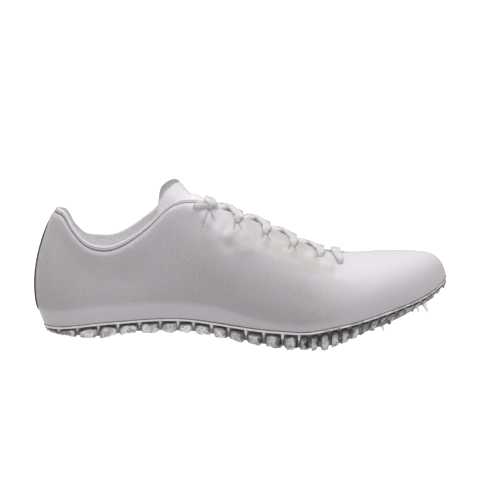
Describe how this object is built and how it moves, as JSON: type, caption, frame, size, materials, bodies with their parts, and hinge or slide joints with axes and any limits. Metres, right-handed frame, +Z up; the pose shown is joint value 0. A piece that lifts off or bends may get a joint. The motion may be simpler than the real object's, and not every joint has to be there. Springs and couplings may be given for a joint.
{
  "type": "track spike shoe",
  "caption": "Right track spike shoe: hollow one-piece low upper with collar and laced throat on a thin moulded plate with perimeter lugs and steel pins under the forefoot.",
  "frame": {"origin": "middle of the flat rest pad under the heel, on the floor", "axes": "+X to the toe along the shoe's longest extent, +Z up, -Y to the outer (lateral) side of this right shoe"},
  "size_m": [0.2814, 0.0902, 0.1083],
  "materials": {
    "upper_cloth": "white fine twill mesh with smooth fused edges, soft satin",
    "lining": "light grey knitted lining, matte",
    "lace_cord": "white flat woven cord, matte",
    "heel_tape": "near-black woven tape, low sheen",
    "sole_plastic": "smoky translucent grey moulded plastic with a marbled look, glossy",
    "pin_steel": "plain bright steel"
  },
  "bodies": {
    "root": {"outsole": "sole_plastic", "pin_1": "pin_steel", "pin_2": "pin_steel", "pin_3": "pin_steel", "pin_4": "pin_steel", "pin_5": "pin_steel", "pin_6": "pin_steel", "pin_7": "pin_steel", "pin_8": "pin_steel", "upper": "upper_cloth", "insole": "lining", "tongue": "upper_cloth", "heel_tape": "heel_tape", "lace_bar": "lace_cord", "lace_top": "lace_cord", "lace_cross_1": "lace_cord", "lace_cross_2": "lace_cord", "lace_cross_3": "lace_cord", "lace_cross_4": "lace_cord"}
  },
  "joints": []
}
